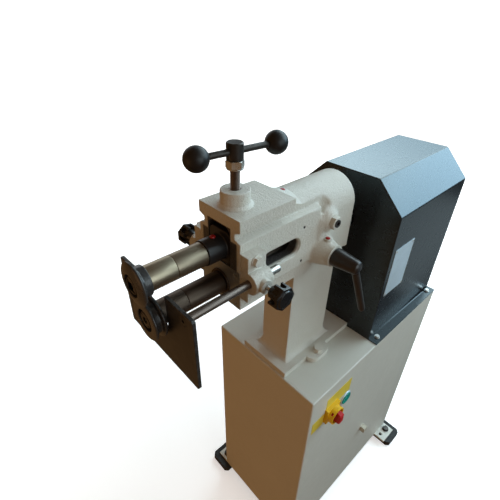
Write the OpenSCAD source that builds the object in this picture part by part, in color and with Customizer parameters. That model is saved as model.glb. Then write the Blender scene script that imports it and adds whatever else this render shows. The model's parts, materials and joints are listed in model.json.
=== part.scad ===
// Electric beading machine: a cast C-frame head with two geared roller
// shafts, standing on a sheet-metal cabinet.  Millimetres.
// +Z is up, the rollers face -Y, the control side is +X.
// The origin lies on the floor under the middle of the cabinet.

/* [Cabinet] */
// Width of the cabinet across X
cab_w = 314; // [304:2:330]
// Depth of the cabinet along Y
cab_d = 574; // [566:2:600]
// Height of the cabinet shell
cab_h = 700; // [620:10:760]
// Sheet thickness of the cabinet walls
sheet_t = 2; // [1.5:0.5:3]
// Thickness of the cabinet top
top_t = 4; // [3:0.5:6]
// Height of the rubber feet
rubber_h = 22; // [16:1:30]
// Thickness of the foot plates
plate_t = 8; // [6:1:10]
// Spacing of the floor anchor holes across X
anchor_x = 346; // [340:2:352]
// Spacing of the floor anchor holes along Y
anchor_y = 464; // [456:2:472]
// Radius of the floor anchor holes
anchor_r = 6; // [5:0.5:7]

/* [Drive cover] */
// Height of the drive cover
cov_h = 417; // [400:1:440]
// Half width of the drive cover
cov_w = 133; // [128:1:136]
// Half width of the flat top of the drive cover
cov_top = 68; // [55:1:80]
// Height at which the chamfers start
cov_ch = 352; // [340:1:360]
// Front face of the drive cover along Y
cov_y0 = -38; // [-39:1:-36]
// Rear face of the drive cover along Y
cov_y1 = 287; // [280:1:287]
// Width of the side flanges
cov_fl = 24; // [18:1:24]

/* [Head] */
// Front face of the head along Y
head_y = -401; // [-402:1:-400]
// Top of the head above the cabinet
head_z = 442; // [440:1:446]
// Half width of the head block
head_w = 51.5; // [50.5:0.5:52]
// Rear face of the gear housing along Y
hous_y = -98; // [-100:1:-96]
// Half width of the gear housing
hous_w = 55.5; // [55:0.5:58]
// Half width of the pedestal column
col_w = 39.5; // [38:0.5:42]
// Thickness of the base plate
base_t = 14; // [12:1:16]

/* [Shafts] */
// Height of the upper shaft above the cabinet
up_z = 377; // [376.5:0.5:377.5]
// Height of the lower shaft above the cabinet
lo_z = 305; // [304.5:0.5:305.5]
// Radius of both shafts
shaft_r = 12; // [11:0.5:12]
// Radius of the spacer sleeves
spacer_r = 20; // [18:0.5:20]
// Running clearance of the bushes
run_c = 0.05; // [0.02:0.01:0.08]
// Pivot of the upper shaft carrier along Y
piv_y = -176; // [-177:1:-175]
// Pivot of the upper shaft carrier above the cabinet
piv_z = 366; // [365:1:367]

/* [Rollers] */
// Radius of the rib on the upper roller
rib_r = 35.4; // [34:0.1:35.4]
// Radius of the flanges on the lower roller
flange_r = 35.4; // [34:0.1:35.4]
// Radius of the groove in the lower roller
groove_r = 28; // [26:0.5:31]
// Front face of the upper roller along Y
roll_y = -558.5; // [-560:0.5:-557]
// Front face of the lower roller along Y
roll_n = -548.5; // [-550:0.5:-547]

/* [Feed screw] */
// Position of the feed screw along Y
screw_y = -366; // [-368:1:-364]
// Radius of the feed screw
screw_r = 8; // [7.5:0.5:8]
// Radius of the ball knobs
ball_r = 19; // [16:0.5:20]
// Distance from the screw to the middle of each ball
bar_l = 71; // [64:1:80]
// Radius of the cross bar
bar_r = 5.2; // [4.5:0.1:6]
// Direction of the cross bar
bar_a = 83; // [0:1:90]
// How far the cross bar has slid through its hub
bar_s = 7; // [-20:1:20]

/* [Gauge] */
// Radius of the gauge rod
rod_r = 7; // [6:0.5:7]
// Position of the gauge rod across X
rod_x = 71.2; // [71:0.1:72]
// Height of the gauge rod above the cabinet
rod_z = 339; // [338:1:340]
// Thickness of the gauge plate
gauge_t = 6; // [4:0.5:6]

/* [Clamps and lever] */
// Radius of the star knobs
knob_r = 20; // [18:0.5:22]
// Position of the clamp knobs along Y
knob_y = -384; // [-386:1:-380]
// Position of the lever along Y
lev_y = -187; // [-188:1:-186]
// Height of the lever above the cabinet
lev_z = 303; // [302:1:304]
// Eccentric throw of the lever shaft
lev_e = 3; // [2:0.5:3]

/* [Controls] */
// Position of the main switch along Y
sw_y = -206; // [-210:1:-202]
// Height of the main switch above the cabinet top
sw_z = -100; // [-104:1:-98]
// Position of the start button along Y
bt_y = -142; // [-146:1:-134]
// Height of the start button above the cabinet top
bt_z = -112; // [-118:1:-106]

/* [Hidden] */
$fn = 96;

paint = [0.78, 0.76, 0.70];
black = [0.10, 0.10, 0.11];
steel = [0.62, 0.62, 0.60];
oxide = [0.16, 0.16, 0.17];
olive = [0.52, 0.49, 0.40];
bronze = [0.60, 0.45, 0.25];

zt = rubber_h + plate_t + cab_h;      // top of the cabinet above the floor
zb = rubber_h + plate_t;              // bottom of the cabinet shell
ear_x = 74; ear_y = -171;             // head bolts
foot_x = 176; foot_y = 265;           // middle of each rubber foot
gear_y0 = -145; gear_y1 = -121;       // face width of the shaft gears
gear_n = 20; gear_tip = 38.4; gear_root = 30.2;
bush_r = 16;                          // outside of the upper bushes
qbush_r = 15.5;                       // outside of the lower bushes
quill_r = 23.9; quill_bore = 24;
win_w = 27;                           // half width of the head window
spac_fu = -535; spac_f = -528;        // front ends of the spacers
spac_ju = -491; spac_jl = -478;       // joints between the spacers
nose_r = 22;                          // nose of the upper shaft carrier
quill_y = -404;                       // front end of the lower quill
plug_y = -256;                        // oil plug on top of the head
scr_x = cov_w + 10; scr_in = 24;      // cover screws

// ---- helpers ---------------------------------------------------------
module up() { translate([0, 0, zt]) children(); }
module cyl_y(x, z, y0, y1, r) { translate([x, y0, z]) rotate([-90, 0, 0]) cylinder(h = y1 - y0, r = r); }
module cone_y(x, z, y0, y1, ra, rb) { translate([x, y0, z]) rotate([-90, 0, 0]) cylinder(h = y1 - y0, r1 = ra, r2 = rb); }
module cyl_x(y, z, x0, x1, r) { translate([x0, y, z]) rotate([0, 90, 0]) cylinder(h = x1 - x0, r = r); }
module cone_x(y, z, x0, x1, ra, rb) { translate([x0, y, z]) rotate([0, 90, 0]) cylinder(h = x1 - x0, r1 = ra, r2 = rb); }
module box(x0, x1, y0, y1, z0, z1) { translate([x0, y0, z0]) cube([x1 - x0, y1 - y0, z1 - z0]); }
// outline in X and Z drawn out along Y
module ext_y(y0, y1) { translate([0, y1, 0]) rotate([90, 0, 0]) linear_extrude(y1 - y0) children(); }
// outline in Y and Z drawn out along X
module ext_x(x0, x1) { translate([x0, 0, 0]) rotate([90, 0, 90]) linear_extrude(x1 - x0) children(); }
// profile of radius and height turned about the line x, z along Y
module turn_y(x, z, y0) { translate([x, y0, z]) rotate([-90, 0, 0]) rotate_extrude() children(); }
module turn_x(y, z, x0) { translate([x0, y, z]) rotate([0, 90, 0]) rotate_extrude() children(); }
module obround(y0, y1, zc, r) {
    translate([y0 + r, zc]) circle(r = r);
    translate([y1 - r, zc]) circle(r = r);
    translate([y0 + r, zc - r]) square([y1 - y0 - 2 * r, 2 * r]);
}
module both() { children(); mirror([1, 0, 0]) children(); }
module corners() { for (sx = [-1, 1], sy = [-1, 1]) translate([sx * foot_x, sy * foot_y, 0]) children(); }
module hex_x(y, z, x0, x1, r) { translate([x0, y, z]) rotate([0, 90, 0]) rotate([0, 0, 30]) cylinder(h = x1 - x0, r = r, $fn = 6); }

// ---- cabinet ---------------------------------------------------------
module cabinet_shell() color(paint) difference() {
    box(-cab_w / 2, cab_w / 2, -cab_d / 2, cab_d / 2, zb, zt);
    box(-cab_w / 2 + sheet_t, cab_w / 2 - sheet_t, -cab_d / 2 + sheet_t, cab_d / 2 - sheet_t, zb - 1, zt - top_t);
    // service opening in the back
    box(-105, 105, cab_d / 2 - sheet_t - 1, cab_d / 2 + 1, zb + 110, zb + 550);
    for (sx = [-1, 1], z = [zb + 100, zb + 330, zb + 560]) cyl_y(sx * 115, z, cab_d / 2 - sheet_t - 1, cab_d / 2 + 1, 2.7);
    // switch, button and pedal holes
    up() cyl_x(sw_y, sw_z, cab_w / 2 - 5, cab_w / 2 + 1, 11);
    up() cyl_x(bt_y, bt_z, cab_w / 2 - 5, cab_w / 2 + 1, 18.5);
    up() cyl_x(40, -450, cab_w / 2 - 5, cab_w / 2 + 1, 6);
    // head bolts, cover screws and cable way
    for (sx = [-1, 1]) translate([sx * ear_x, ear_y, zt - 10]) cylinder(h = 20, r = 6.5);
    for (sx = [-1, 1], y = [cov_y0 + scr_in, cov_y1 - scr_in]) translate([sx * scr_x, y, zt - 10]) cylinder(h = 20, r = 3.2);
    translate([-60, 200, zt - 10]) cylinder(h = 20, r = 14);
}

module rear_panel() color(paint) difference() {
    box(-125, 125, cab_d / 2, cab_d / 2 + 1.5, zb + 90, zb + 570);
    for (sx = [-1, 1], z = [zb + 100, zb + 330, zb + 560]) cyl_y(sx * 115, z, cab_d / 2 - 1, cab_d / 2 + 2, 2.7);
    // louvre slots
    for (i = [0:6]) box(-70, 70, cab_d / 2 - 1, cab_d / 2 + 2, zb + 400 + i * 18, zb + 406 + i * 18);
}

module rear_panel_screws() color(steel)
    for (sx = [-1, 1], z = [zb + 100, zb + 330, zb + 560]) {
        cyl_y(sx * 115, z, cab_d / 2 - 8, cab_d / 2 + 1.5, 2.5);
        difference() {
            cyl_y(sx * 115, z, cab_d / 2 + 1.5, cab_d / 2 + 4, 4.8);
            box(sx * 115 - 0.6, sx * 115 + 0.6, cab_d / 2 + 3, cab_d / 2 + 5, z - 3.2, z + 3.2);
            box(sx * 115 - 3.2, sx * 115 + 3.2, cab_d / 2 + 3, cab_d / 2 + 5, z - 0.6, z + 0.6);
        }
    }

module foot_plates() color(paint) difference() {
    for (sx = [-1, 1], sy = [-1, 1]) translate([sx * 153, sy * 250, rubber_h]) translate([-45, -35, 0]) cube([90, 70, plate_t]);
    corners() translate([0, 0, rubber_h - 1]) cylinder(h = plate_t + 2, r = 6.1);
    for (sx = [-1, 1], sy = [-1, 1]) translate([sx * anchor_x / 2, sy * anchor_y / 2, rubber_h - 1]) cylinder(h = plate_t + 2, r = anchor_r);
}

module rubber_feet() color(black) difference() {
    corners() linear_extrude(rubber_h) difference() {
        square([80, 80], center = true);
        for (a = [0:90:270]) rotate(a) translate([40, 40]) rotate(45) square([14, 14], center = true);
    }
    corners() translate([0, 0, 6]) cylinder(h = rubber_h, r = 6.1);
    for (sx = [-1, 1], sy = [-1, 1]) translate([sx * anchor_x / 2, sy * anchor_y / 2, -1]) cylinder(h = rubber_h + 2, r = anchor_r);
}

module foot_bolts() color(oxide) corners() {
    translate([0, 0, 8]) cylinder(h = rubber_h + plate_t - 8, r = 6);
    translate([0, 0, zb]) cylinder(h = 2.5, r = 12);
    translate([0, 0, zb + 2.5]) cylinder(h = 7.5, r = 10.4, $fn = 6);
}

module pedal_inlet() color(paint) up() difference() {
    union() {
        box(cab_w / 2, cab_w / 2 + 16, 31.5, 48.5, -460, -440);
        cyl_x(40, -450, cab_w / 2 - 12, cab_w / 2, 5.9);
    }
    translate([cab_w / 2 + 9, 40, -461]) cylinder(h = 16, r = 5);
}

// ---- head casting ----------------------------------------------------
module beam_outline(top, neck) polygon([
    [-head_w, 270], [head_w, 270], [head_w, 402], [38.5, 406], [38.5, neck],
    [head_w - 0.2, neck + 5.5], [head_w - 0.2, top], [-head_w + 0.2, top],
    [-head_w + 0.2, neck + 5.5], [-38.5, neck], [-38.5, 406], [-head_w, 402]]);

module ear_outline() {
    translate([58, -206]) square([11, 70]);
    translate([69, -186]) circle(r = 20);
    translate([69, -156]) circle(r = 20);
    translate([69, -186]) square([20, 30]);
}

module head_casting() color(paint) up() difference() {
    union() {
        // base plate with two bolt ears
        linear_extrude(base_t) union() {
            translate([-68, -282]) square([136, 242]);
            ear_outline();
            mirror([1, 0]) ear_outline();
        }
        // flared foot and column
        for (k = [[[12, -1], [5, 4]], [[5, 4], [1.5, 11]], [[1.5, 11], [0, 22]]]) hull() for (f = k)
            box(-col_w - f[0], col_w + f[0], -248 - f[0], -110 + f[0], base_t + f[1], base_t + f[1] + 0.3);
        box(-col_w, col_w, -248, -110, base_t + 22, 300);
        // front block, neck and flanged top
        ext_y(head_y, -345) beam_outline(head_z, 416);
        ext_y(-345, -277) polygon([[-46, 264], [46, 264], [46, 292], [head_w, 292], [head_w, 402], [38.5, 406], [38.5, 416],
            [head_w - 0.2, 421.5], [head_w - 0.2, head_z], [-head_w + 0.2, head_z], [-head_w + 0.2, 421.5],
            [-38.5, 416], [-38.5, 406], [-head_w, 402], [-head_w, 292], [-46, 292]]);
        ext_y(-278, -200) polygon([[-46, 264], [46, 264], [46, 292], [head_w, 292], [head_w, 402], [38.5, 406], [-38.5, 406], [-head_w, 402], [-head_w, 292], [-46, 292]]);
        // arched arm behind the flanged top
        intersection() {
            union() {
                cone_y(0, up_z, -278, -246, 64.5, hous_w);
                cyl_y(0, up_z, -247, -150, hous_w);
            }
            box(-38.5, 38.5, -279, -149, up_z + 4, 450);
        }
        // gear housing with an arched top
        cyl_y(0, up_z, -172, hous_y, hous_w);
        box(-hous_w, hous_w, -204, hous_y, 277, up_z);
        // feed screw boss
        translate([0, screw_y, head_z - 2]) cylinder(h = 28, r = 24.5);
        translate([0, screw_y, head_z - 1]) cylinder(h = 7, r1 = 31, r2 = 24);
        // pivot bosses
        both() {
            cone_x(piv_y, piv_z, 50.9, 63, 30, 15.5);
            cyl_x(piv_y, piv_z, 36, 51, 30);
        }
        // webs between the arched arm and the housing
        both() intersection() {
            cyl_y(0, up_z, -192, -160, hous_w);
            translate([0, 0, up_z]) linear_extrude(70) polygon([[30, -192], [38.5, -191], [41.5, -182], [47, -176], [56, -172], [56, -160], [30, -160]]);
        }
        // lever boss
        intersection() {
            cone_x(lev_y, lev_z, 40, 80, 37, 23);
            box(30, 90, -230, -150, 278, 334);
        }
        translate([64, lev_y, 318]) cylinder(h = 16, r = 8);
        cyl_x(lev_y, lev_z, 79, 86, 23);
    }
    // window and tunnel of the upper shaft carrier
    ext_y(head_y - 1, -150) polygon([[-win_w, 322], [win_w, 322], [win_w, 412], [win_w - 8, 420], [-win_w + 8, 420], [-win_w, 412]]);
    // bore of the lower quill
    cyl_y(0, lo_z, head_y - 1, -150, quill_bore);
    // gear chamber and rear shaft hole
    cyl_y(0, up_z, -151, -114, 41);
    cyl_y(0, lo_z, -151, -114, 41);
    box(-41, 41, -151, -114, lo_z, up_z);
    cyl_y(0, lo_z, -115, hous_y + 1, 16);
    // recess for the lower bearing cap
    box(-50, 50, head_y - 1, head_y + 8, 269, 348);
    // feed screw thread
    translate([0, screw_y, 415]) cylinder(h = 60, r = screw_r + run_c);
    // pivot screws
    both() cyl_x(piv_y, piv_z, 24, 70, 8);
    // lever shaft
    cyl_x(lev_y, lev_z, 20, 90, 8 + run_c);
    // cast side windows with a stepped lip
    ext_x(-60, 60) obround(-352, -256, 342.5, 17.5);
    both() ext_x(head_w - 3, 60) obround(-354, -254, 342.5, 19.5);
    // grub screw holes
    both() cyl_x(-247.5, 376, head_w - 8, 60, 2.6);
    both() cyl_x(-247, 302.6, head_w - 8, 60, 2.6);
    // bracket bolts
    both() cyl_x(knob_y, 376, 33, 60, 5);
    // head bolts
    for (sx = [-1, 1]) translate([sx * ear_x, ear_y, -1]) cylinder(h = base_t + 2, r = 6.5);
    // oil holes
    translate([0, plug_y, 425]) cylinder(h = 20, r = 4);
    translate([0, plug_y, 434]) cylinder(h = 20, r = 6);
    // bearing cap screws
    for (sx = [-1, 1], z = [279, 338]) cyl_y(sx * 40, z, head_y + 7, head_y + 22, 2.5);
    translate([64, lev_y, 318]) cylinder(h = 20, r = 4);
}

module head_bolts() color(paint) up() for (sx = [-1, 1]) translate([sx * ear_x, ear_y, 0]) {
    translate([0, 0, -20]) cylinder(h = base_t + 20, r = 6);
    translate([0, 0, base_t]) cylinder(h = 2.5, r = 12);
    translate([0, 0, base_t + 2.5]) rotate(12) cylinder(h = 7.5, r = 10.4, $fn = 6);
    translate([0, 0, -top_t - 10]) cylinder(h = 10, r = 10.4, $fn = 6);
}

module lower_bearing_cap() color(steel) up() difference() {
    box(-49.6, 49.6, head_y, head_y + 8, 270, 347.6);
    cyl_y(0, lo_z, head_y - 1, head_y + 9, quill_bore + 0.3);
    for (sx = [-1, 1], z = [279, 338]) {
        cone_y(sx * 40, z, head_y - 0.01, head_y + 4, 5.6, 2.6);
        cyl_y(sx * 40, z, head_y, head_y + 9, 2.6);
    }
}

module cap_screws() color(steel) up() for (sx = [-1, 1], z = [279, 338]) difference() {
    union() {
        cone_y(sx * 40, z, head_y + 0.3, head_y + 4, 5.2, 2.4);
        cyl_y(sx * 40, z, head_y + 4, head_y + 20, 2.4);
    }
    translate([sx * 40, head_y - 1, z]) rotate([-90, 0, 0]) cylinder(h = 3.6, r = 1.9, $fn = 6);
}

module bracket() difference() {
    union() {
        box(head_w, 70, head_y, -362, 298, 386);
        // bosses of the gauge rod and the clamp screw
        cyl_y(rod_x, rod_z, head_y, -362, 19.6);
        cyl_x(knob_y, rod_z, rod_x, 96, 12);
    }
    cyl_y(rod_x, rod_z, head_y - 1, -340, rod_r + run_c);
    cyl_x(knob_y, 376, 50, 71, 5.5);
    cyl_x(knob_y, rod_z, rod_x, 99, 4.1);
    // the casting is cut flat against the head
    box(40, head_w, -420, -340, 250, 400);
}
module right_bracket() color(paint) up() bracket();
module left_bracket() color(paint) up() mirror([1, 0, 0]) bracket();

module bracket_bolts() color(paint) up() both() {
    cyl_x(knob_y, 376, 36, 70, 4.9);
    cyl_x(knob_y, 376, 70, 71.5, 10.5);
    hex_x(knob_y, 376, 71.5, 78, 9.2);
}

module pivot_screws() color(steel) up() both() difference() {
    union() {
        cyl_x(piv_y, piv_z, 17.5, 30, 5.95);
        cyl_x(piv_y, piv_z, 29, 75, 7.95);
    }
    hex_x(piv_y, piv_z, 69, 76, 4.6);
}

module pivot_lock_nuts() color(paint) up() both() difference() {
    hex_x(piv_y, piv_z, 63, 73, 13.9);
    cyl_x(piv_y, piv_z, 60, 80, 8);
}

module oil_cap() { translate([0, 0, -6]) cylinder(h = 6, r = 3.9); cylinder(h = 2, r1 = 5.2, r2 = 3.6); }
module oil_plugs() color([0.6, 0.05, 0.06]) up() {
    translate([0, plug_y, 434]) oil_cap();
    translate([64, lev_y, 334]) oil_cap();
}

// ---- drive cover, gearbox and motor ---------------------------------
module cover_outline(d) polygon([[-cov_w + d, -d], [cov_w - d, -d], [cov_w - d, cov_ch - d * 0.41],
    [cov_top - d * 0.41, cov_h - d], [-cov_top + d * 0.41, cov_h - d], [-cov_w + d, cov_ch - d * 0.41]]);

module drive_cover() color(black) up() difference() {
    union() {
        ext_y(cov_y0, cov_y1) cover_outline(0);
        both() box(cov_w - 1, cov_w + cov_fl, cov_y0, cov_y1, 0, 2.5);
    }
    ext_y(cov_y0 + 2, cov_y1 - 2) cover_outline(2);
    // shaft hole in the front, louvres in the back
    cyl_y(0, lo_z, cov_y0 - 1, cov_y0 + 4, 28);
    for (i = [0:7]) box(-60, 60, cov_y1 - 4, cov_y1 + 1, 90 + i * 22, 97 + i * 22);
    for (sx = [-1, 1], y = [cov_y0 + scr_in, cov_y1 - scr_in]) translate([sx * scr_x, y, -1]) cylinder(h = 10, r = 3.2);
}

module cover_screws() color(steel) up() for (sx = [-1, 1], y = [cov_y0 + scr_in, cov_y1 - scr_in]) translate([sx * scr_x, y, 0]) {
    translate([0, 0, -10]) cylinder(h = 12.5, r = 3);
    translate([0, 0, 2.5]) cylinder(h = 1.2, r = 7);
    translate([0, 0, 3.7]) cylinder(h = 4, r = 5.8, $fn = 6);
}

module gearbox_stand() color(oxide) up() difference() {
    box(-60, 60, 10, 117.5, 0, 245);
    box(-52, 52, 9, 123, 8, 237);
}

module gearbox() color([0.55, 0.57, 0.58]) up() difference() {
    union() {
        box(-52, 52, 15, 112, 249, 361);
        box(-60, 60, 12, 118, 245, 252);
        cyl_y(0, lo_z, 4, 16, 34);
        cyl_y(0, lo_z, 110, 118, 58);
    }
    cyl_y(0, lo_z, 3, 40, shaft_r + run_c);
}

module motor() color([0.35, 0.38, 0.42]) up() {
    difference() {
        cyl_y(0, lo_z, 118, 262, 62);
        // cooling fins
        for (a = [0:15:345]) translate([0, 0, lo_z]) rotate([0, a, 0]) box(-3, 3, 134, 248, 56, 66);
        cyl_y(0, lo_z, 250, 263, 8);
    }
    // terminal box
    box(54, 92, 150, 220, lo_z - 30, lo_z + 30);
}

module motor_fan_cover() color(black) up() difference() {
    cyl_y(0, lo_z, 262, 284, 62);
    cyl_y(0, lo_z, 261, 282, 60);
    for (a = [0:30:330]) translate([0, 0, lo_z]) rotate([0, a, 0]) box(-2.5, 2.5, 280, 286, 18, 50);
}

module motor_fan() color(oxide) up() {
    cyl_y(0, lo_z, 252, 274, 7.9);
    difference() {
        cyl_y(0, lo_z, 265, 276, 20);
        cyl_y(0, lo_z, 264, 274, 7.9);
    }
    for (a = [0:45:315]) translate([0, 0, lo_z]) rotate([0, a, 0]) box(-1.5, 1.5, 265, 276, 19, 52);
}

module output_shaft() color(steel) up() {
    cyl_y(0, lo_z, -6, 38, shaft_r);
    difference() {
        cyl_y(0, lo_z, -46, 2, 21);
        cyl_y(0, lo_z, -47, -6, shaft_r + run_c);
        cyl_y(0, lo_z, -7, 3, shaft_r);
        translate([0, -20, lo_z]) cylinder(h = 30, r = 3);
    }
}

module data_plate() color([0.75, 0.76, 0.77]) up() difference() {
    box(cov_w, cov_w + 0.8, -21, 63, 136, 266);
    for (y = [-16, 58], z = [141, 261]) cyl_x(y, z, cov_w - 1, cov_w + 2, 1.6);
}
module data_plate_rivets() color(steel) up() for (y = [-16, 58], z = [141, 261]) {
    cyl_x(y, z, cov_w, cov_w + 0.8, 1.5);
    cone_x(y, z, cov_w + 0.8, cov_w + 2, 3, 1.8);
}

// ---- controls --------------------------------------------------------
module switch_base() color([0.92, 0.78, 0.12]) up() difference() {
    union() {
        box(cab_w / 2, cab_w / 2 + 9, sw_y - 24, sw_y + 24, sw_z - 24, sw_z + 24);
        cyl_x(sw_y, sw_z, cab_w / 2 + 8, cab_w / 2 + 22, 23.5);
        cyl_x(sw_y, sw_z, cab_w / 2 - 30, cab_w / 2, 10.8);
    }
    cyl_x(sw_y, sw_z, cab_w / 2 + 9, cab_w / 2 + 23, 20);
    cyl_x(sw_y, sw_z, cab_w / 2 - 26, cab_w / 2 + 10, 5);
    // padlock notches in the collar
    for (a = [45:90:315]) translate([0, sw_y, sw_z]) rotate([a, 0, 0]) box(cab_w / 2 + 13, cab_w / 2 + 18, -4, 4, 15, 30);
}

module switch_handle() color([0.72, 0.06, 0.08]) up() {
    cyl_x(sw_y, sw_z, cab_w / 2 - 24, cab_w / 2 + 10, 4.6);
    cyl_x(sw_y, sw_z, cab_w / 2 + 9.6, cab_w / 2 + 14, 19.4);
    translate([0, sw_y, sw_z]) rotate([0, 0, 0]) intersection() {
        ext_x(cab_w / 2 + 13, cab_w / 2 + 33) polygon([[-7, -17], [7, -17], [7, 15], [3, 19], [-3, 19], [-7, 15]]);
        ext_y(-20, 20) polygon([[cab_w / 2 + 13, -18], [cab_w / 2 + 30, -15], [cab_w / 2 + 33, -12], [cab_w / 2 + 33, 13], [cab_w / 2 + 30, 16], [cab_w / 2 + 13, 19]]);
    }
}

module button_bezel() color([0.70, 0.72, 0.72]) up() {
    difference() {
        union() {
            cyl_x(bt_y, bt_z, cab_w / 2, cab_w / 2 + 2, 20);
            cone_x(bt_y, bt_z, cab_w / 2 + 2, cab_w / 2 + 3.2, 20, 18.8);
            cyl_x(bt_y, bt_z, cab_w / 2 - 30, cab_w / 2, 18.4);
        }
        cyl_x(bt_y, bt_z, cab_w / 2 - 27, cab_w / 2 + 6, 17.6);
    }
}

module start_button() color([0.02, 0.50, 0.43]) up() {
    cyl_x(bt_y, bt_z, cab_w / 2 - 14, cab_w / 2 + 3.4, 17.2);
    cone_x(bt_y, bt_z, cab_w / 2 + 3.4, cab_w / 2 + 4.6, 17.2, 15.8);
}

// ---- upper shaft -----------------------------------------------------
module upper_rocker() color(oxide) up() difference() {
    union() {
        ext_y(head_y + 1, -152) polygon([[-26.6, 349], [26.6, 349], [26.6, 402], [18, 409], [-18, 409], [-26.6, 402]]);
        cyl_y(0, up_z, -436, head_y + 2, nose_r);
    }
    cyl_y(0, up_z, -437, -150, 14);
    cyl_y(0, up_z, -437, -398, bush_r);
    cyl_y(0, up_z, -192, -150, bush_r);
    // trunnion sockets
    both() cyl_x(piv_y, piv_z, 16.8, 30, 6);
    translate([0, -414, up_z + 15]) cylinder(h = 14, r = 4);
}

module upper_bushes() color(bronze) up() {
    difference() { cyl_y(0, up_z, -436, -398, bush_r); cyl_y(0, up_z, -437, -397, shaft_r + run_c); }
    difference() { cyl_y(0, up_z, -192, -152, bush_r); cyl_y(0, up_z, -193, -151, shaft_r + run_c); }
}

module rocker_oil_plug() color([0.6, 0.05, 0.06]) up() translate([0, -414, up_z + nose_r]) {
    translate([0, 0, -5]) cylinder(h = 6, r = 3.9);
    translate([0, 0, 0.4]) cylinder(h = 2.4, r1 = 5.2, r2 = 3.6);
}

module shaft_body(z, y0, y1) up() {
    cyl_y(0, z, y0 + 8, y1, shaft_r);
    cyl_y(0, z, y0 + 3, y0 + 8, 8);
}

module upper_shaft() color(steel) shaft_body(up_z, roll_y, -117);

module sleeve_pair(z, y0, ym, y1, r) up() {
    for (s = [[y0, ym - 0.05], [ym + 0.05, y1]]) turn_y(0, z, s[0]) polygon([[shaft_r, 0], [r - 0.6, 0], [r, 0.6], [r, s[1] - s[0] - 0.6], [r - 0.6, s[1] - s[0]], [shaft_r, s[1] - s[0]]]);
}
module upper_spacers() color(olive) sleeve_pair(up_z, spac_fu, spac_ju, -436.5, spacer_r);

// rollers: profile of radius against distance from the front face
module upper_roller() color(oxide) up() let (n = spac_fu - roll_y) turn_y(0, up_z, roll_y) polygon([
    [shaft_r, 8], [17, 8], [18, 7], [18, 0.8], [18.8, 0], [21.5, 0], [rib_r - 4, 2.4], [rib_r - 1.2, 3.6],
    [rib_r, 5.6], [rib_r - 1.2, 7.6], [rib_r - 4, 9], [25.5, 10], [24, 12], [24, n - 1],
    [23, n], [shaft_r, n]]);

module lower_roller() color(oxide) up() let (n = spac_f - roll_n) turn_y(0, lo_z, roll_n) polygon([
    [shaft_r, 8], [18.5, 8], [19.5, 7], [19.5, 0.8], [20.3, 0], [flange_r - 1.5, 0], [flange_r, 1.5], [flange_r, 3.4],
    [flange_r - 1, 4.4], [groove_r + 1, 5], [groove_r, 6], [groove_r, n - 7], [groove_r + 1, n - 6], [flange_r - 1, n - 5.4],
    [flange_r, n - 4.4], [flange_r, n - 1.5], [flange_r - 1.5, n], [shaft_r, n]]);

module roller_nut(z, y0) up() difference() {
    turn_y(0, z, y0) polygon([[8, 8], [8, 3], [6, 1], [13, 1], [14.5, 2.5], [14.5, 8]]);
    for (a = [45:90:315]) translate([0, 0, z]) rotate([0, a, 0]) translate([11, y0 - 1, 0]) rotate([-90, 0, 0]) cylinder(h = 5, r = 1.8);
}
module upper_roller_nut() color(steel) roller_nut(up_z, roll_y);
module lower_roller_nut() color(steel) roller_nut(lo_z, roll_n);

module gear_outline(a0) polygon([for (k = [0:gear_n - 1], p = [[gear_root, -5.5], [gear_tip, -2.2], [gear_tip, 2.2], [gear_root, 5.5]])
    let (a = a0 + k * 360 / gear_n + p[1]) [p[0] * cos(a), p[0] * sin(a)]]);

module shaft_gear(z, a0) up() difference() {
    translate([0, 0, z]) ext_y(gear_y0, gear_y1) gear_outline(a0);
    cyl_y(0, z, gear_y0 - 1, gear_y1 + 1, shaft_r);
}
module upper_gear() color(steel) shaft_gear(up_z, 0);
module lower_gear() color(steel) shaft_gear(lo_z, 180 / gear_n);

// ---- lower shaft -----------------------------------------------------
module lower_quill() color(steel) up() difference() {
    cyl_y(0, lo_z, quill_y, -160, quill_r);
    cyl_y(0, lo_z, -407, -159, 13.5);
    cyl_y(0, lo_z, -407, -370, qbush_r);
    cyl_y(0, lo_z, -196, -159, qbush_r);
    // slot for the eccentric pin
    box(18.2, 30, lev_y - 4.6, lev_y + 4.6, lev_z - 6, lev_z + 12);
}

module lower_bushes() color(bronze) up() {
    difference() { cyl_y(0, lo_z, quill_y, -370, qbush_r); cyl_y(0, lo_z, -407, -369, shaft_r + run_c); }
    difference() { cyl_y(0, lo_z, -196, -160, qbush_r); cyl_y(0, lo_z, -197, -159, shaft_r + run_c); }
}

module lower_shaft() color(steel) shaft_body(lo_z, roll_n, -14);
module lower_spacers() color([0.36, 0.31, 0.26]) sleeve_pair(lo_z, spac_f, spac_jl, quill_y - 0.5, spacer_r);

// ---- feed screw ------------------------------------------------------
module pressure_pad() color(steel) up() translate([0, screw_y, 409.4]) cylinder(h = 4.6, r1 = 6.5, r2 = 7.4);

module feed_screw() color(oxide) up() translate([0, screw_y, 414]) cylinder(h = 107, r = screw_r);

module tee_hub() color(oxide) up() translate([0, screw_y, 0]) difference() {
    translate([0, 0, 514.8]) rotate_extrude() polygon([[0, 0], [12.3, 0], [13.3, 1], [13.3, 24.7], [11.8, 26.2], [0, 26.2]]);
    translate([0, 0, 513]) cylinder(h = 8, r = screw_r);
    translate([0, 0, 527]) rotate([0, 0, bar_a]) rotate([0, 90, 0]) translate([0, 0, -20]) cylinder(h = 40, r = bar_r + run_c);
}

module tee_bar() color(oxide) up() translate([0, screw_y, 527]) rotate([0, 0, bar_a]) rotate([0, 90, 0])
    translate([0, 0, bar_s - bar_l + 5]) cylinder(h = 2 * bar_l - 10, r = bar_r);

module ball_knobs() color(black) up() translate([0, screw_y, 527]) rotate([0, 0, bar_a]) translate([bar_s, 0, 0]) for (s = [0, 180]) rotate([0, 0, s]) translate([bar_l, 0, 0]) rotate([0, 90, 0]) difference() {
    sphere(r = ball_r);
    translate([0, 0, -ball_r - 5]) cylinder(h = ball_r, r = bar_r);
}

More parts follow.
